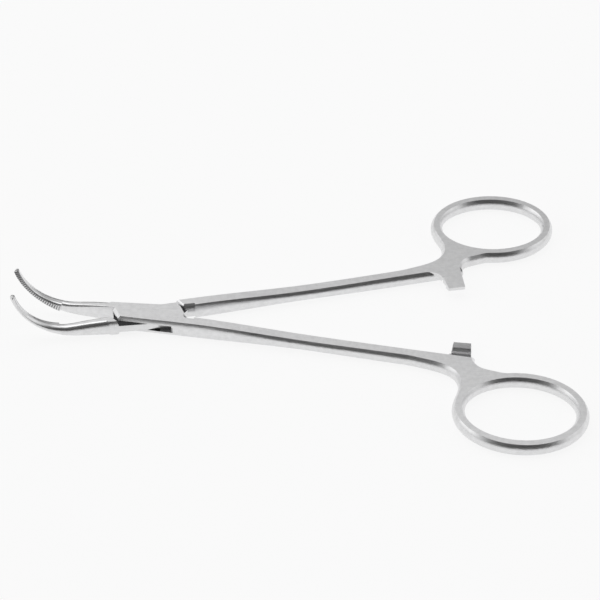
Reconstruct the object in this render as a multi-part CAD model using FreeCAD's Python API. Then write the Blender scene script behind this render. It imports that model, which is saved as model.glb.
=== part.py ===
import FreeCAD, Part
import math
import os
from FreeCAD import Vector

# Right angle clamp with a box lock: two forged steel halves that cross at a rivet.
# The box half has two cheeks with a slot between them, and the tongue half passes through the slot.
# All lengths are in millimetres and all angles in degrees.
# The halves are drawn closed, with u along the clamp from the rivet to the rings,
# v sideways from the middle of the clamp, and z up from the middle of the box.
# They are then turned apart about the rivet to the resting pose and set down at z = 0.

# Pose
rest_half_angle = 7.7

# Fits between the halves
face_gap = 0.05
shoulder_gap = 0.12
rivet_running_gap = 0.05
crotch_gap = 0.2

# Box lock
box_thickness = 4.5
box_half_width = 3.5
box_side_bulge = 0.65
box_jaw_end = 9.45
box_ring_end = 9.7
jaw_shoulder_slant = 34.0
ring_shoulder_slant = 31.0
slot_height = 2.1
slot_wall_jaw = 5.8
slot_wall_ring = 6.6
crotch_u = 10.5
cheek_bevel = 0.65
shoulder_bevel = 0.35
rivet_radius = 1.5

# Jaws
jaw_root_length = 0.4
jaw_rounding_run = 1.0
jaw_straight_length = 18.4
jaw_bend_radius = 14.8
jaw_bend_angle = 80.0
jaw_root_width = 3.1
jaw_root_bulge = 0.65
jaw_bulge = 1.3
jaw_tip_width = 1.4
jaw_tip_bulge = 0.95
jaw_tip_height = 1.2
jaw_taper_power = 4.0
jaw_narrowing_power = 2.0
jaw_edge_rounding = 0.7
jaw_under_share = 0.5
jaw_relief = 0.5
jaw_section_spacing = 2.8
grip_step = 0.03
tip_bevel = 0.35
serration_start_angle = 17.0
serration_pitch = 0.62
serration_depth = 0.2

# Shanks
shank_start = 12.0
shank_length = 54.0
shank_width_at_box = 3.8
shank_width_at_ring = 3.7
shank_bulge = 0.65
shank_bow = 0.18
shank_offset_at_ring = 6.0
shank_waist_share = 0.55
shank_waist_thickness = 3.1
shank_section_count = 8

# Finger rings
ring_thickness = 3.5
ring_bulge = 0.8
ring_flat = 1.5
ring_hole_length = 26.6
ring_hole_width = 19.4
ring_tilt = -5.0
ring_center_u = 94.4
ring_center_v = 22.2
neck_inset = 1.1

# Ratchet tabs
tab_u = 79.5
tab_width = 4.3
tab_root_width = 5.0
tab_reach = 1.7
tab_gusset_radius = 4.0
tooth_pitch = 2.1
tooth_height = 0.8
tooth_count = 3
tooth_crest_gap = 0.1

# Values that follow from the ones above
reach_out = 300.0
half_box = box_thickness / 2
half_ring = ring_thickness / 2
ring_drop = half_box - half_ring
shank_end = shank_start + shank_length
shank_offset_at_box = crotch_gap + shank_width_at_box / 2
tab_right_u = tab_u + tab_root_width / 2
hole_half_length = ring_hole_length / 2
hole_half_width = ring_hole_width / 2
inner_face_v = face_gap + jaw_relief
jaw_start_u = box_jaw_end + jaw_root_length
jaw_straight_run = jaw_straight_length - jaw_start_u
jaw_length = jaw_straight_run + jaw_bend_radius * math.radians(jaw_bend_angle)
grip_start = jaw_straight_run + jaw_bend_radius * math.radians(serration_start_angle)


# Small helpers

def smooth_step(share):
    """Ease from 0 to 1 with level ends."""
    share = min(max(share, 0.0), 1.0)
    return share * share * (3 - 2 * share)


def blend(first, last, share):
    return first + (last - first) * share


def arc_edge(start, middle, end):
    return Part.Arc(start, middle, end).toShape()


def line_edge(start, end):
    return Part.LineSegment(start, end).toShape()


def prism(points, low, high):
    """Straight prism over a flat polygon given as (u, v) points."""
    corners = [Vector(u, v, low) for u, v in points]
    face = Part.Face(Part.makePolygon(corners + corners[:1]))
    return face.extrude(Vector(0, 0, high - low))


def slab(low, high):
    """Wide plate between two heights."""
    size = 2 * reach_out
    return Part.makeBox(size, size, high - low, Vector(-reach_out, -reach_out, low))


def mirror_v(shape):
    return shape.mirror(Vector(0, 0, 0), Vector(0, 1, 0))


def side_point(width, bulge, half_height, z):
    """Sideways reach, at height z, of a round side that bulges out by the given amount."""
    radius = (half_height ** 2 + bulge ** 2) / (2 * bulge)
    return width - radius + math.sqrt(radius ** 2 - z ** 2)


def section_wire(place, inner, outer, half_height):
    """Closed section with a flat top and bottom. inner and outer are (v at half height, v at the edges)."""
    corners = [(outer[1], half_height), (outer[1], -half_height), (inner[1], -half_height), (inner[1], half_height)]
    top_out, low_out, low_in, top_in = [place(v, h) for v, h in corners]
    edges = [line_edge(top_in, top_out)]
    edges.append(arc_edge(top_out, place(outer[0], 0), low_out))
    edges.append(line_edge(low_out, low_in))
    if inner[0] == inner[1]:
        edges.append(line_edge(low_in, top_in))
    else:
        edges.append(arc_edge(low_in, place(inner[0], 0), top_in))
    return Part.Wire(edges)


def upright_place(u, middle=0.0):
    """Section plane that stands square to the clamp at u."""
    return lambda v, h: Vector(u, v, middle + h)


# Box envelope: both jaw roots and both shank roots as one closed form, before the lock is cut

def envelope():
    extra_height = 0.1
    high = half_box + extra_height
    shank_outer = shank_offset_at_box + shank_width_at_box / 2
    stations = [
        (-jaw_start_u, jaw_root_width, jaw_root_bulge),
        (0.0, box_half_width, box_side_bulge),
        (shank_start, shank_outer, shank_bulge),
    ]
    wires = []
    for u, width, bulge in stations:
        edge_v = side_point(width, bulge, half_box, high)
        wires.append(section_wire(upright_place(u), (-width, -edge_v), (width, edge_v), high))
    body = Part.makeLoft(wires, True)
    return body.common(slab(-half_box, half_box))


def shoulder_u(end, slant, v):
    """Where a slanted shoulder line lies at v. It crosses the middle of the clamp at end."""
    return end - abs(v) * math.tan(math.radians(slant))


def jaw_shoulder(v, gap=0.0):
    return -shoulder_u(box_jaw_end, jaw_shoulder_slant, v) + gap


def ring_shoulder(v, gap=0.0):
    return shoulder_u(box_ring_end, ring_shoulder_slant, v) - gap


def wall_u(end, mouth, v):
    """Slot wall: a straight line from the middle of the clamp out to the side of the box."""
    return blend(end, mouth, abs(v) / box_half_width)


far = 2 * box_half_width


def jaw_region(low, high, gap=0.0):
    """Full height region of the tongue half's jaw root, in front of its shoulder."""
    inner = inner_face_v if gap else -inner_face_v
    points = [(-reach_out, inner), (jaw_shoulder(0, gap), inner), (jaw_shoulder(far, gap), -far), (-reach_out, -far)]
    return prism(points, low, high)


def ring_region(low, high, gap=0.0):
    """Full height region of the tongue half's shank root, behind its shoulder."""
    points = [(reach_out, -gap), (ring_shoulder(0, gap), -gap), (ring_shoulder(far, gap), far), (reach_out, far)]
    return prism(points, low, high)


def tongue_region(low, high, gap=0.0):
    """Region of the tongue between the two slot walls. It overlaps both full height regions."""
    overlap = 1.0
    points = [
        (-box_jaw_end - overlap, -inner_face_v),
        (-box_jaw_end, -inner_face_v + gap),
        (-wall_u(box_jaw_end, slot_wall_jaw, far) - gap, far),
        (ring_shoulder(far) + overlap, far),
        (box_ring_end + overlap, crotch_gap + shank_bulge),
        (box_ring_end + gap, 0),
        (wall_u(box_ring_end, slot_wall_ring, far) + gap, -far),
        (jaw_shoulder(far) - overlap, -far),
    ]
    return prism(points, low, high)


def crotch_gap_tool(start):
    """Space between the two shank roots, with round sides and a round end."""
    tall = half_box + 0.1
    edge_v = crotch_gap + shank_bulge - side_point(0, shank_bulge, half_box, tall)
    place = upright_place(start)
    corners = [place(v, h) for v, h in ((edge_v, tall), (edge_v, -tall), (-edge_v, -tall), (-edge_v, tall))]
    near_side = arc_edge(corners[0], place(crotch_gap, 0), corners[1])
    far_side = arc_edge(corners[2], place(-crotch_gap, 0), corners[3])
    across_top = line_edge(corners[3], corners[0])
    across_low = line_edge(corners[1], corners[2])
    space = Part.Face(Part.Wire([across_top, near_side, across_low, far_side])).extrude(Vector(reach_out, 0, 0))
    middle = line_edge(place(0, -tall), place(0, tall))
    half_top = line_edge(place(0, tall), corners[0])
    half_low = line_edge(corners[1], place(0, -tall))
    half_face = Part.Face(Part.Wire([half_top, near_side, half_low, middle]))
    return space.fuse(half_face.revolve(place(0, 0), Vector(0, 0, 1), 360))


# Jaw: follows an arc that rises out of the plane of the clamp

def bend_place(angle):
    """Section plane square to the jaw, turned by angle about the bend's axis."""
    sine = math.sin(math.radians(angle))
    cosine = math.cos(math.radians(angle))

    def place(v, h):
        radius = jaw_bend_radius - h
        return Vector(-jaw_straight_length - radius * sine, v, jaw_bend_radius - radius * cosine)

    return place


def serration_tool():
    """Row of V grooves, each square to the jaw, over the gripping part of the inner face."""
    half_pitch = serration_pitch / 2
    groove_angle = math.degrees(serration_pitch / jaw_bend_radius)
    groove_count = int((jaw_bend_angle - serration_start_angle) / groove_angle)
    bottom_v = face_gap + serration_depth
    grooves = []
    for index in range(groove_count):
        place = bend_place(serration_start_angle + groove_angle * (index + 0.5))
        along = (place(0, 0) - bend_place(serration_start_angle + groove_angle * (index - 0.5))(0, 0)).normalize()
        below = place(face_gap, -half_box)
        start = below - along * half_pitch
        end = below + along * half_pitch
        bottom = place(bottom_v, -half_box)
        clear = Vector(0, -serration_depth, 0)
        corners = [start, bottom, end, end + clear, start + clear]
        face = Part.Face(Part.makePolygon(corners + corners[:1]))
        grooves.append(face.extrude(place(face_gap, half_box) - below))
    return Part.makeCompound(grooves)


def jaw_place(distance):
    """Section plane square to the jaw, at a distance along it from the end of the box."""
    if distance < jaw_straight_run:
        return upright_place(-jaw_start_u - distance)
    return bend_place(math.degrees((distance - jaw_straight_run) / jaw_bend_radius))


def side_edge(place, width, flat_v, flat_h, angle):
    """Round side from the edge of a flat face to the widest level. Its angle is 90 where it leaves the face smoothly."""
    turn = math.radians(angle)
    corner_h = flat_h / math.sin(turn) * math.tan(turn / 2)
    poles = [place(flat_v, flat_h), place(width, corner_h), place(width, 0)]
    curve = Part.BSplineCurve()
    curve.buildFromPolesMultsKnots(poles, [3, 3], [0, 1], False, 2, [1, math.cos(turn / 2), 1])
    return curve.toShape()


def corner_edge(place, inner, rounding, flat_h):
    """Rounded edge between the inner face and the flat face at height flat_h."""
    back = math.copysign(rounding, flat_h)
    offset = 1 - math.sqrt(0.5)
    middle = place(inner + rounding * offset, flat_h - back * offset)
    return arc_edge(place(inner, flat_h - back), middle, place(inner + rounding, flat_h))


def jaw_wire(place, inner, rounding, flat, low_flat, width, half_height, angle):
    edges = [
        line_edge(place(inner + rounding, half_height), place(flat, half_height)),
        side_edge(place, width, flat, half_height, angle),
        side_edge(place, width, low_flat, -half_height, angle),
        line_edge(place(low_flat, -half_height), place(inner + rounding, -half_height)),
        corner_edge(place, inner, rounding, -half_height),
        line_edge(place(inner, rounding - half_height), place(inner, half_height - rounding)),
        corner_edge(place, inner, rounding, half_height),
    ]
    return Part.Wire(edges)


def jaw_section(distance, inner, inset=0.0):
    """Section of the jaw: flat inner face, round outer side. inset makes it smaller all round."""
    share = min(distance / jaw_length, 1.0)
    half_height = blend(jaw_tip_height, box_thickness, (1 - share ** 2) ** jaw_taper_power) / 2 - inset
    width = blend(jaw_root_width, jaw_tip_width, share ** jaw_narrowing_power) - inset
    flat = width + inset / 2 - blend(jaw_bulge, jaw_tip_bulge, share)
    rounding = jaw_edge_rounding * (0.2 + 0.8 * math.sin(math.pi * share))
    low_flat = blend(flat, inner + rounding, jaw_under_share * smooth_step(4 * share))
    return jaw_wire(jaw_place(distance), inner, rounding, flat, low_flat, width, half_height, 90)


def jaw_start_section():
    """Section where the jaw leaves the box, with the sides of the box."""
    angle = 2 * math.degrees(math.atan(jaw_root_bulge / half_box))
    flat = jaw_root_width - jaw_root_bulge
    rounding = 0.2 * jaw_edge_rounding
    return jaw_wire(jaw_place(0), inner_face_v, rounding, flat, flat, jaw_root_width, half_box, angle)


def jaw_stretch(first, last, inner, end_inset=0.0):
    count = math.ceil((last - first) / jaw_section_spacing)
    wires = []
    for index in range(count + 1):
        share = index / count
        wires.append(jaw_section(blend(first, last, share), inner, end_inset * share))
    return Part.makeLoft(wires, True)


def jaw():
    """Jaw on the +v side: a relieved stretch beside the box, then the grip and the bevelled tip."""
    full_end = jaw_length - tip_bevel
    rounded_root = jaw_section(jaw_rounding_run, inner_face_v)
    start = Part.makeLoft([jaw_start_section(), rounded_root], True, True)
    root = jaw_stretch(jaw_rounding_run, grip_start, inner_face_v, grip_step)
    grip = jaw_stretch(grip_start, full_end, face_gap)
    tip = Part.makeLoft([jaw_section(full_end, face_gap), jaw_section(jaw_length, face_gap, tip_bevel)], True, True)
    return start.fuse([root, grip.fuse(tip).cut(serration_tool())])


# Handle: shank, finger ring and ratchet tab on the +v side

def shank_center(share):
    straight = blend(shank_offset_at_box, shank_offset_at_ring, share)
    return straight - 4 * shank_bow * share * (1 - share)


def shank_half_height(share):
    if share < shank_waist_share:
        return blend(box_thickness, shank_waist_thickness, smooth_step(share / shank_waist_share)) / 2
    rest = (share - shank_waist_share) / (1 - shank_waist_share)
    return blend(shank_waist_thickness, ring_thickness, smooth_step(rest)) / 2


def shank(end_wire):
    wires = []
    for index in range(shank_section_count):
        share = index / shank_section_count
        half_width = blend(shank_width_at_box, shank_width_at_ring, share) / 2
        bulge = blend(shank_bulge, ring_bulge, share)
        center = shank_center(share)
        inner = center - half_width
        outer = center + half_width
        place = upright_place(shank_start + shank_length * share, -ring_drop * smooth_step(share))
        wires.append(section_wire(place, (inner, inner + bulge), (outer, outer - bulge), shank_half_height(share)))
    wires.append(end_wire)
    return Part.makeLoft(wires, True)


def ring_ellipse(half_length, half_width, z):
    tilt = math.radians(ring_tilt)
    along = Vector(math.cos(tilt), math.sin(tilt), 0)
    across = Vector(-math.sin(tilt), math.cos(tilt), 0)
    center = Vector(ring_center_u, ring_center_v, z)
    return Part.Ellipse(center + along * half_length, center + across * half_width, center)


def grown(points, grow, side):
    """Points moved square to their own line by grow, to the left (1) or to the right (-1)."""
    moved = []
    for index, point in enumerate(points):
        before = points[max(index - 1, 0)]
        after = points[min(index + 1, len(points) - 1)]
        along = (after - before).normalize()
        moved.append(point + Vector(-along.y, along.x, 0) * grow * side)
    return moved


def smooth_edge(points, first_tangent, last_tangent):
    curve = Part.BSplineCurve()
    curve.interpolate(Points=points, InitialTangent=first_tangent, FinalTangent=last_tangent)
    return curve.toShape()


def handle_end_outline(grow, z):
    """Outline of the shank end, web and ring. grow 0 is the flat top, and ring_bulge is the widest level."""
    flat_half_length = hole_half_length + ring_bulge + ring_flat
    flat_half_width = hole_half_width + ring_bulge + ring_flat
    ellipse = ring_ellipse(flat_half_length + grow, flat_half_width + grow, z)
    outboard_angle = math.radians(190)
    inboard_angle = math.radians(-98)
    ring_arc = Part.ArcOfEllipse(ellipse, inboard_angle, outboard_angle).toShape()
    outboard_end = ellipse.value(outboard_angle)
    inboard_end = ellipse.value(inboard_angle)
    outboard_tangent = Vector(*ellipse.tangent(outboard_angle)[0]) * -1
    inboard_tangent = Vector(*ellipse.tangent(inboard_angle)[0]) * -1

    lead = 4.0
    flat_half = shank_width_at_ring / 2 - ring_bulge
    outer_slope = (shank_offset_at_ring - shank_center(1 - lead / shank_length)) / lead
    outer_start = Vector(shank_end - lead, shank_offset_at_ring - lead * outer_slope + flat_half, z)
    outer_end = Vector(shank_end, shank_offset_at_ring + flat_half, z)
    neck = Vector(ring_center_u - flat_half_length + neck_inset, ring_center_v, z)
    rise_shares = ((0.28, 0.046), (0.67, 0.142), (0.908, 0.30), (1.0, 0.525))
    outboard = [outer_start, outer_end]
    for along, across in rise_shares:
        outboard.append(Vector(blend(outer_end.x, neck.x, along), blend(outer_end.y, neck.y, across), z))
    outboard = grown(outboard, grow, 1)
    start_tangent = Vector(1, outer_slope, 0)
    outboard_edge = smooth_edge(outboard + [outboard_end], start_tangent, outboard_tangent)

    inner_start = Vector(shank_end - lead, outer_start.y - 2 * flat_half - grow, z)
    corner = Vector(tab_right_u + grow, web_edge(tab_right_u) - grow, z)
    flat_corner = corner + Vector(-grow, grow, 0)
    flat_inboard_end = ring_ellipse(flat_half_length, flat_half_width, z).value(inboard_angle)
    web_shares = ((0.54, 0.90), (0.18, 0.64), (0.02, 0.23))
    inboard = [flat_inboard_end]
    for along, across in web_shares:
        web_u = blend(flat_corner.x, flat_inboard_end.x, along)
        web_v = blend(flat_corner.y, flat_inboard_end.y, across)
        inboard.append(Vector(web_u, web_v, z))
    inboard = grown(inboard + [flat_corner], grow, 1)[1:-1]
    inboard_edge = smooth_edge([inboard_end] + inboard + [corner], inboard_tangent, Vector(0, -1, 0))
    start_edge = line_edge(inner_start, outboard[0])
    return Part.Wire([start_edge, outboard_edge, ring_arc, inboard_edge, line_edge(corner, inner_start)])


def ring_hole_tool():
    """Finger hole, narrowest at half height."""
    over = 1.2
    wires = []
    for level in (-over, 0.0, over):
        grow = ring_bulge * level * level
        ellipse = ring_ellipse(hole_half_length + grow, hole_half_width + grow, level * half_ring - ring_drop)
        wires.append(Part.Wire(ellipse.toShape()))
    return Part.makeLoft(wires, True)


def handle_end():
    levels = ((0.0, -half_ring), (ring_bulge, 0.0), (0.0, half_ring))
    wires = [handle_end_outline(grow, z - ring_drop) for grow, z in levels]
    body = Part.makeLoft(wires, True)
    keep = Part.makeBox(reach_out, reach_out, reach_out, Vector(shank_end, -reach_out / 2, -reach_out / 2))
    return body.common(keep).cut(ring_hole_tool())


def face_at(shape, u):
    """Flat face of a shape that stands square to the clamp at u."""
    return min(shape.Faces, key=lambda face: abs(face.BoundBox.XMin - u) + abs(face.BoundBox.XMax - u))


def web_edge(u):
    """Inboard edge of the web's flat face, which runs on in line with the shank."""
    slope = (shank_offset_at_ring - shank_offset_at_box) / shank_length
    return shank_offset_at_ring - shank_width_at_ring / 2 + ring_bulge + slope * (u - shank_end)


def ratchet_tab(side):
    """Half thickness tab that points past the middle of the clamp. side 1 is the upper tab, -1 the lower."""
    crest_z = side * tooth_crest_gap / 2
    flat_z = side * half_ring
    left_u = tab_right_u - tab_root_width
    web_v = web_edge(left_u - tab_gusset_radius)
    tip_left = tab_u - tab_width / 2
    tip_right = tab_u + tab_width / 2
    radius = tab_gusset_radius
    inset = 1.6
    middle_share = math.sqrt(0.5)
    arc_start = Vector(left_u - radius, web_v, crest_z)
    arc_end = Vector(left_u, web_v - radius, crest_z)
    arc_middle = Vector(left_u - radius + radius * middle_share, web_v - radius + radius * middle_share, crest_z)
    points = [(tip_left, -tab_reach), (tip_right, -tab_reach), (tab_right_u, web_v + inset)]
    corners = [Vector(u, v, crest_z) for u, v in points]
    back = Vector(left_u - radius, web_v + inset, crest_z)
    edges = [arc_edge(arc_start, arc_middle, arc_end), line_edge(arc_end, corners[0])]
    edges += [line_edge(corners[0], corners[1]), line_edge(corners[1], corners[2])]
    edges += [line_edge(corners[2], back), line_edge(back, arc_start)]
    plate = Part.Face(Part.Wire(edges)).extrude(Vector(0, 0, flat_z - crest_z))
    return plate.cut(tooth_tool(side, crest_z, left_u)).translate(Vector(0, 0, -ring_drop))


def tooth_tool(side, crest_z, left_u):
    """Space in front of each tooth's ramp, and the trough behind the last tooth."""
    root_z = crest_z + side * tooth_height
    past_z = crest_z - side * tooth_height
    width = tab_right_u - left_u + 2 * ring_bulge
    start_u = left_u - ring_bulge / 2
    spaces = []
    for index in range(tooth_count):
        first = index * tooth_pitch - tab_reach
        last = first + tooth_pitch
        ramp = [(first, root_z), (last, crest_z), (last, past_z), (first, past_z)]
        spaces.append(ramp)
    last_crest = tooth_count * tooth_pitch - tab_reach
    trough_end = last_crest + tooth_height
    spaces.append([(last_crest, root_z), (trough_end, root_z), (trough_end, past_z), (last_crest, past_z)])
    tools = []
    for space in spaces:
        corners = [Vector(start_u, v, z) for v, z in space]
        tools.append(Part.Face(Part.makePolygon(corners + corners[:1])).extrude(Vector(width, 0, 0)))
    return Part.makeCompound(tools)


def handle(tab_side):
    end = handle_end()
    rod = shank(face_at(end, shank_end).OuterWire)
    return [rod, end, ratchet_tab(tab_side)]


# The three pieces, closed

def shoulder_edges(body, u_low, u_high):
    """Straight top and bottom edges of the slanted shoulders in one stretch of the clamp."""
    found = []
    for edge in body.Edges:
        box = edge.BoundBox
        level = any(abs(box.ZMin - z) < 1e-4 and abs(box.ZMax - z) < 1e-4 for z in (-half_box, half_box))
        slanted = box.XLength > 0.3 and box.YLength > 1.0
        if level and slanted and box.XMin > u_low and box.XMax < u_high and edge.Curve.TypeId == "Part::GeomLine":
            found.append(edge)
    return found


def box_half():
    tall = half_box + 1.0
    body = envelope()
    body = body.cut(jaw_region(-tall, tall, shoulder_gap))
    body = body.cut(ring_region(-tall, tall, shoulder_gap))
    body = body.cut(tongue_region(-slot_height / 2, slot_height / 2, shoulder_gap))
    body = body.cut(crotch_gap_tool(crotch_u))
    body = body.makeChamfer(cheek_bevel, shoulder_edges(body, -jaw_start_u, -slot_wall_jaw))
    pieces = [jaw()] + [mirror_v(piece) for piece in handle(-1)]
    body = body.fuse(pieces).removeSplitter()
    return body.cut(Part.makeCylinder(rivet_radius, 2 * tall, Vector(0, 0, -tall)))


def tongue_half():
    tall = half_box + 1.0
    half_tongue = slot_height / 2 - face_gap
    whole = envelope()
    tongue = whole.common(tongue_region(-half_tongue, half_tongue))
    jaw_root = whole.common(jaw_region(-tall, tall))
    shank_root = whole.common(ring_region(-tall, tall)).cut(crotch_gap_tool(0))
    shank_root = shank_root.makeChamfer(shoulder_bevel, shoulder_edges(shank_root, slot_wall_ring, shank_start))
    pieces = [jaw_root, shank_root, mirror_v(jaw())] + handle(1)
    body = tongue.fuse(pieces).removeSplitter()
    bore = Part.makeCylinder(rivet_radius + rivet_running_gap, 2 * tall, Vector(0, 0, -tall))
    return body.cut(bore)


def pivot_pin():
    return Part.makeCylinder(rivet_radius, box_thickness, Vector(0, 0, -half_box))


def place_at_rest(shape, turn):
    """Turn a closed piece about the rivet and set it down on the table."""
    shape.rotate(Vector(0, 0, 0), Vector(0, 0, 1), turn)
    shape.translate(Vector(0, 0, half_box))
    return shape


def main():
    os.makedirs("parts", exist_ok=True)
    nodes = {
        "box_half": place_at_rest(box_half(), -rest_half_angle),
        "tongue_half": place_at_rest(tongue_half(), rest_half_angle),
        "pivot_pin": place_at_rest(pivot_pin(), -rest_half_angle),
    }
    for name, shape in nodes.items():
        shape.exportStep("parts/" + name + ".step")
        box = shape.BoundBox
        print(name, "solids", len(shape.Solids), "valid", shape.isValid(), "volume", round(shape.Volume, 2))
        print("  x", round(box.XMin, 2), round(box.XMax, 2), "y", round(box.YMin, 2), round(box.YMax, 2))
        print("  z", round(box.ZMin, 3), round(box.ZMax, 3))


main()
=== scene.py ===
import math
import bpy
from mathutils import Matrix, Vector

# Right angle clamp in satin steel, lying open on a pale floor under soft studio light.
# Lengths are in metres and angles in degrees.

# Camera
camera_target = (0.03856, 0.0087, 0.0)
camera_azimuth = -0.88
camera_elevation = 41.88
camera_distance = 0.4343
camera_lens = 100.8
camera_sensor = 36.0
camera_near = 0.01
camera_far = 20.0

# Steel: tones, roughness, brush strokes and fine grain
steel_turn = {"box_half": -7.7, "tongue_half": 7.7, "pivot_pin": -7.7}
steel_dark_tone = (0.73, 0.73, 0.735, 1.0)
steel_light_tone = (0.82, 0.82, 0.825, 1.0)
steel_roughness_low = 0.27
steel_roughness_high = 0.36
roughness_noise = (0.25, 0.75)
brush_length = 0.008
brush_width = 0.00013
brush_depth = 0.000006
brush_strength = 0.35
brush_detail = 4.0
brush_noise_roughness = 0.6
mottle_size = 0.0012
mottle_detail = 3.0
mottle_noise_roughness = 0.55
grain_shares = (0.5, 0.5)
grain_noise = (0.36, 0.64)

# Painted shade: places where shade falls, in the grip's grooves, inside the lock and on the teeth,
# are painted near black and made rougher. u runs along the closed clamp from the rivet to the
# rings, v runs sideways from its middle, and z up from the underside. Edges are the widths over
# which a place fades out.
painted_shade_tone = (0.05, 0.05, 0.052, 1.0)
painted_shade_roughness = 0.5
middle_edge = 0.0002

# Painted shade in the bottoms of the grip's grooves
groove_darkness = 0.62
groove_start_u = -0.0212
groove_fade = 0.0035
groove_rise_v = (0.00008, 0.00016)
groove_fall_v = (0.00030, 0.00045)

# Painted shade inside the lock's slot: on its flats, and on the walls in front up to a height
slot_darkness = 1.0
slot_reach_u = 0.0112
slot_edge_u = 0.0001
slot_z = (0.0011, 0.0034)
slot_edge_z = 0.00002
flat_normal_z = 0.7
bright_back_u = (0.0036, 0.0079)
bright_back_edge = 0.0002
wall_darkness = 0.65
dark_wall_start_u = (0.0018, 0.0030)
dark_wall_end_u = (0.0068, 0.0069)
dark_wall_top_z = (0.0028, 0.0030)

# Painted shade on the ratchet teeth
teeth_darkness = 0.2
teeth_u = (0.0771, 0.0822)
teeth_edge_u = 0.0001
teeth_reach_v = (0.0052, 0.0055)
teeth_z = (0.00085, 0.00176)
teeth_edge_z = 0.00003

# Floor
floor_size = 6.0
floor_color = (0.97, 0.97, 0.97, 1.0)
floor_glow_share = 0.87
background_color = (1.0, 1.0, 1.0, 1.0)

# Room: levels from the front horizon (0) over the zenith (0.5) to the back horizon (1),
# then how they drift from left to right, and the white walls at the sides
world_strength = 1.0
sky_levels = (
    (0.0, 0.045),
    (0.12, 0.045),
    (0.24, 0.11),
    (0.42, 0.045),
    (0.50, 0.72),
    (0.64, 0.80),
    (0.72, 0.77),
    (0.78, 0.69),
    (0.86, 0.26),
    (1.0, 0.14),
)
drift_x = (-0.25, 0.35)
drift_levels = (1.26, 0.74)
wall_levels = (1.35, 1.05)
wall_blend_x = (-0.5, 0.5)
wall_low_level = 0.68
wall_rise_z = (0.08, 0.30)
wall_start_x = (0.56, 0.88)

# Lamp
lamp_height = 0.9
lamp_size = 0.7
lamp_offset_y = 0.15
lamp_power = 1.3

# Socket numbers of the blend node: its output, and its first and second input, for each kind
blend_output = {"FLOAT": 0, "RGBA": 2}
blend_inputs = {"FLOAT": (2, 3), "RGBA": (6, 7)}


# Node helpers

def node(tree, kind, values=None, **settings):
    """New node with its settings and its socket values, given by socket name or number."""
    made = tree.nodes.new(kind)
    for key, value in settings.items():
        setattr(made, key, value)
    for key, value in (values or {}).items():
        made.inputs[key].default_value = value
    return made


def join(tree, source, target, source_socket=0, target_socket=0):
    """Link from the source to the target. Returns the target."""
    tree.links.new(source.outputs[source_socket], target.inputs[target_socket])
    return target


def feed(tree, value, target, target_socket, source_socket=0):
    """Link from a node, or plain value, into a socket of the target."""
    if isinstance(value, bpy.types.Node):
        join(tree, value, target, source_socket, target_socket)
    else:
        target.inputs[target_socket].default_value = value


def math_node(tree, operation, first, second=0.0, first_socket=0):
    made = node(tree, "ShaderNodeMath", operation=operation)
    feed(tree, first, made, 0, first_socket)
    feed(tree, second, made, 1)
    return made


def product(tree, first, *others):
    for other in others:
        first = math_node(tree, "MULTIPLY", first, other)
    return first


def opposite(tree, share):
    return math_node(tree, "SUBTRACT", 1.0, share)


def blend(tree, kind, share, first, second):
    """From first at a share of 0 to second at a share of 1, as numbers or as colours."""
    made = node(tree, "ShaderNodeMix", data_type=kind)
    join(tree, share, made)
    for value, socket in zip((first, second), blend_inputs[kind]):
        feed(tree, value, made, socket, blend_output[kind])
    return made


def ramp(tree, source, source_socket, reach, low_value, high_value):
    """Smooth change from low_value to high_value as the source goes through its reach."""
    low, high = reach
    values = {"From Min": low, "From Max": high, "To Min": low_value, "To Max": high_value}
    made = node(tree, "ShaderNodeMapRange", values, interpolation_type="SMOOTHSTEP")
    return join(tree, source, made, source_socket, "Value")


def inside(tree, source, source_socket, reach, edge):
    """1 within the reach, falling to 0 over the edge width outside it."""
    low, high = reach
    rise = ramp(tree, source, source_socket, (low - edge, low), 0.0, 1.0)
    fall = ramp(tree, source, source_socket, (high, high + edge), 1.0, 0.0)
    return product(tree, rise, fall)


def empty_tree(owner):
    owner.use_nodes = True
    owner.node_tree.nodes.clear()
    return owner.node_tree


# Steel

def groove_share(tree, place, side):
    """Painted shade in the bottoms of the grooves across the grip, a little way in from the middle
    of the clamp.
    """
    deep = ramp(tree, side, 0, groove_rise_v, 0.0, 1.0)
    shallow = ramp(tree, side, 0, groove_fall_v, 1.0, 0.0)
    along = ramp(tree, place, "X", (groove_start_u - groove_fade, groove_start_u), 1.0, 0.0)
    return product(tree, deep, shallow, along, groove_darkness)


def slot_share(tree, place, level):
    """Painted shade on the flats inside the lock's slot, except a stretch along the clamp left
    unshaded, and on its walls in front.
    """
    in_lock = inside(tree, place, "X", (-slot_reach_u, slot_reach_u), slot_edge_u)
    in_slot = inside(tree, place, "Z", slot_z, slot_edge_z)

    left_unshaded = inside(tree, place, "X", bright_back_u, bright_back_edge)
    flats = product(tree, level, opposite(tree, left_unshaded))

    front = ramp(tree, place, "Y", (-middle_edge, middle_edge), 1.0, 0.0)
    begun = ramp(tree, place, "X", dark_wall_start_u, 0.0, 1.0)
    ended = ramp(tree, place, "X", dark_wall_end_u, 1.0, 0.0)
    under = ramp(tree, place, "Z", dark_wall_top_z, wall_darkness, 0.0)
    walls = product(tree, opposite(tree, level), under, begun, ended, front)

    hidden = math_node(tree, "MAXIMUM", flats, walls)
    return product(tree, in_lock, in_slot, hidden, slot_darkness)


def teeth_share(tree, place, side):
    """Painted shade on the toothed faces of the two ratchet tabs."""
    across = inside(tree, place, "X", teeth_u, teeth_edge_u)
    reach = ramp(tree, side, 0, teeth_reach_v, 1.0, 0.0)
    depth = inside(tree, place, "Z", teeth_z, teeth_edge_z)
    return product(tree, across, reach, depth, teeth_darkness)


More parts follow.
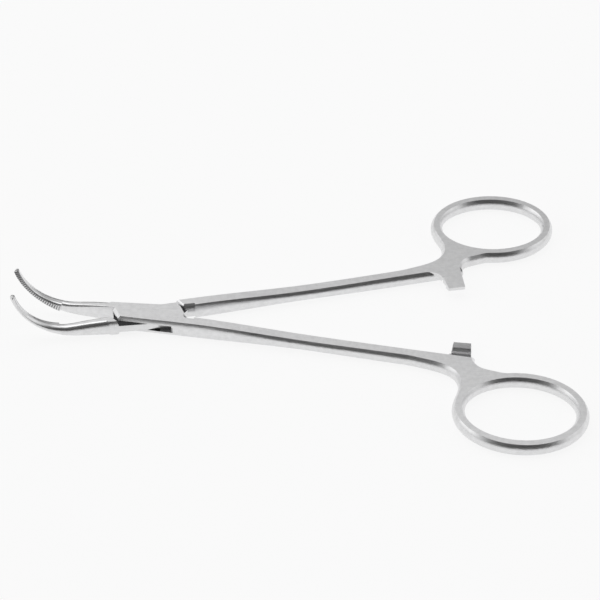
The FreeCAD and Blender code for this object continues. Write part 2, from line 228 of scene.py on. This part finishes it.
def painted_shade_share(tree, aligned, coordinates):
    """How much painted shade, near black and rougher, the steel gets: in the grip's grooves,
    inside the lock and on the teeth.
    """
    place = join(tree, aligned, node(tree, "ShaderNodeSeparateXYZ"))
    normal = join(tree, coordinates, node(tree, "ShaderNodeSeparateXYZ"), "Normal")
    side = math_node(tree, "ABSOLUTE", place, first_socket="Y")
    steep = math_node(tree, "ABSOLUTE", normal, first_socket="Z")
    level = math_node(tree, "GREATER_THAN", steep, flat_normal_z)

    grooves = groove_share(tree, place, side)
    slot = slot_share(tree, place, level)
    teeth = teeth_share(tree, place, side)
    return math_node(tree, "MAXIMUM", math_node(tree, "MAXIMUM", grooves, slot), teeth)


def brush_strokes(tree, aligned):
    """Noise drawn out into fine strokes along the half."""
    stretch = (1 / brush_length, 1 / brush_width, 1 / brush_width)
    stretched = node(tree, "ShaderNodeMapping", {"Scale": stretch})
    join(tree, aligned, stretched, "Vector", "Vector")
    values = {"Scale": 1.0, "Detail": brush_detail, "Roughness": brush_noise_roughness}
    return join(tree, stretched, node(tree, "ShaderNodeTexNoise", values), "Vector", "Vector")


def steel_mottle(tree, coordinates):
    values = {
        "Scale": 1 / mottle_size,
        "Detail": mottle_detail,
        "Roughness": mottle_noise_roughness,
    }
    return join(tree, coordinates, node(tree, "ShaderNodeTexNoise", values), "Object", "Vector")


def satin_steel(name, turn):
    """Finely brushed stainless steel, with the strokes along the half's own length."""
    material = bpy.data.materials.new(name)
    tree = empty_tree(material)
    coordinates = node(tree, "ShaderNodeTexCoord")
    turned_back = {"Rotation": (0.0, 0.0, math.radians(-turn))}
    aligned = node(tree, "ShaderNodeMapping", turned_back)
    join(tree, coordinates, aligned, "Object", "Vector")

    strokes = brush_strokes(tree, aligned)
    mottle = steel_mottle(tree, coordinates)
    painted_shade = painted_shade_share(tree, aligned, coordinates)

    stroke_share, mottle_share = grain_shares
    stroke_part = product(tree, strokes, stroke_share)
    mottle_part = product(tree, mottle, mottle_share)
    grain = math_node(tree, "ADD", stroke_part, mottle_part)
    shade = ramp(tree, grain, 0, grain_noise, 0.0, 1.0)
    tone = blend(tree, "RGBA", shade, steel_dark_tone, steel_light_tone)
    # Painted shade: the near-black tone is mixed in where shade falls, with a rougher finish there
    color = blend(tree, "RGBA", painted_shade, tone, painted_shade_tone)
    polished = ramp(tree, strokes, 0, roughness_noise, steel_roughness_low, steel_roughness_high)
    roughness = blend(tree, "FLOAT", painted_shade, polished, painted_shade_roughness)
    relief = node(tree, "ShaderNodeBump", {"Strength": brush_strength, "Distance": brush_depth})
    join(tree, strokes, relief, 0, "Height")

    steel = node(tree, "ShaderNodeBsdfPrincipled", {"Metallic": 1.0})
    join(tree, color, steel, blend_output["RGBA"], "Base Color")
    join(tree, roughness, steel, blend_output["FLOAT"], "Roughness")
    join(tree, relief, steel, 0, "Normal")
    join(tree, steel, node(tree, "ShaderNodeOutputMaterial"), 0, "Surface")
    return material


def dress_nodes():
    for name, turn in steel_turn.items():
        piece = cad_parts[name]
        material = satin_steel("satin_steel_" + name, turn)
        for slot in piece.material_slots:
            slot.material = material


# Floor and light

def seen_or_mirrored(tree):
    """1 for rays from the camera and for mirror reflections, 0 for the light itself."""
    path = node(tree, "ShaderNodeLightPath")
    made = node(tree, "ShaderNodeMath", operation="MAXIMUM")
    join(tree, path, made, "Is Camera Ray", 0)
    return join(tree, path, made, "Is Glossy Ray", 1)


def make_floor():
    half = floor_size / 2
    corners = [(-half, -half, 0), (half, -half, 0), (half, half, 0), (-half, half, 0)]
    mesh = bpy.data.meshes.new("floor")
    mesh.from_pydata(corners, [], [(0, 1, 2, 3)])
    floor = bpy.data.objects.new("floor", mesh)
    bpy.context.scene.collection.objects.link(floor)
    material = bpy.data.materials.new("pale_floor")
    tree = empty_tree(material)
    paint = node(tree, "ShaderNodeBsdfDiffuse", {"Color": floor_color})
    glow = node(tree, "ShaderNodeEmission", {"Color": background_color, "Strength": 1.0})
    mixed = node(tree, "ShaderNodeMixShader")
    join(tree, product(tree, seen_or_mirrored(tree), floor_glow_share), mixed)
    join(tree, paint, mixed, 0, 1)
    join(tree, glow, mixed, 0, 2)
    join(tree, mixed, node(tree, "ShaderNodeOutputMaterial"), 0, "Surface")
    mesh.materials.append(material)


def level_curve(tree, source, levels):
    """Level that follows a list of (position, level) points."""
    curve = node(tree, "ShaderNodeValToRGB")
    stops = curve.color_ramp.elements
    while len(stops) < len(levels):
        stops.new(0.5)
    for stop, (position, level) in zip(stops, levels):
        stop.position = position
        stop.color = (level, level, level, 1.0)
    return join(tree, source, curve, 0, "Fac")


def room_level(tree):
    """Dark in front, bright above, grey and then dark behind, and white at the sides.

    All of it but the sides grows dimmer from left to right.
    """
    coordinates = node(tree, "ShaderNodeTexCoord")
    direction = join(tree, coordinates, node(tree, "ShaderNodeSeparateXYZ"), "Generated")

    ahead = math_node(tree, "MULTIPLY", direction, -1.0, "Y")
    angle = node(tree, "ShaderNodeMath", operation="ARCTAN2")
    join(tree, direction, angle, "Z", 0)
    join(tree, ahead, angle, 0, 1)
    position = math_node(tree, "DIVIDE", angle, math.pi)
    drift = ramp(tree, direction, "X", drift_x, *drift_levels)
    sky = product(tree, level_curve(tree, position, sky_levels), drift)

    high_wall = ramp(tree, direction, "X", wall_blend_x, *wall_levels)
    height = ramp(tree, direction, "Z", wall_rise_z, 0.0, 1.0)
    walls = blend(tree, "FLOAT", height, wall_low_level, high_wall)
    sideways = math_node(tree, "ABSOLUTE", direction, first_socket="X")
    wall_share = ramp(tree, sideways, 0, wall_start_x, 0.0, 1.0)
    return blend(tree, "FLOAT", wall_share, sky, walls)


def make_world():
    """The room lights the clamp and shows in the steel, and the camera sees plain white."""
    world = bpy.data.worlds.new("studio")
    bpy.context.scene.world = world
    tree = empty_tree(world)
    room = node(tree, "ShaderNodeBackground", {"Strength": world_strength})
    join(tree, room_level(tree), room, 0, "Color")
    plain = node(tree, "ShaderNodeBackground", {"Color": background_color})
    mixed = node(tree, "ShaderNodeMixShader")
    join(tree, node(tree, "ShaderNodeLightPath"), mixed, "Is Camera Ray", 0)
    join(tree, room, mixed, 0, 1)
    join(tree, plain, mixed, 0, 2)
    join(tree, mixed, node(tree, "ShaderNodeOutputWorld"), 0, "Surface")


def make_lamp():
    lamp = bpy.data.lights.new("softbox", "AREA")
    lamp.shape = "SQUARE"
    lamp.size = lamp_size
    lamp.energy = lamp_power
    holder = bpy.data.objects.new("softbox", lamp)
    holder.location = (camera_target[0], lamp_offset_y, lamp_height)
    bpy.context.scene.collection.objects.link(holder)


def make_camera():
    turn = math.radians(camera_azimuth)
    rise = math.radians(camera_elevation)
    flat = math.cos(rise)
    back = Vector((math.sin(turn) * flat, -math.cos(turn) * flat, math.sin(rise)))
    lens = bpy.data.cameras.new("photo_view")
    lens.lens = camera_lens
    lens.sensor_width = camera_sensor
    lens.clip_start = camera_near
    lens.clip_end = camera_far
    camera = bpy.data.objects.new("photo_view", lens)
    camera.location = Vector(camera_target) + back * camera_distance
    camera.rotation_mode = "QUATERNION"
    camera.rotation_quaternion = (-back).to_track_quat("-Z", "Y")
    bpy.context.scene.collection.objects.link(camera)
    bpy.context.scene.camera = camera


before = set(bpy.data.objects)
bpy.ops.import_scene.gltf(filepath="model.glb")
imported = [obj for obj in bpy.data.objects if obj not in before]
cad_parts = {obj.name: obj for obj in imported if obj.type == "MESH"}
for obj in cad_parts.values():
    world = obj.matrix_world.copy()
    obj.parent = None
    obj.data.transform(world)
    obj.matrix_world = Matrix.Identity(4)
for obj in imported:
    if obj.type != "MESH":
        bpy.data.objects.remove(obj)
bpy.context.view_layer.update()

dress_nodes()
make_floor()
make_world()
make_lamp()
make_camera()
bpy.context.scene.view_settings.view_transform = "Standard"

bpy.context.view_layer.update()
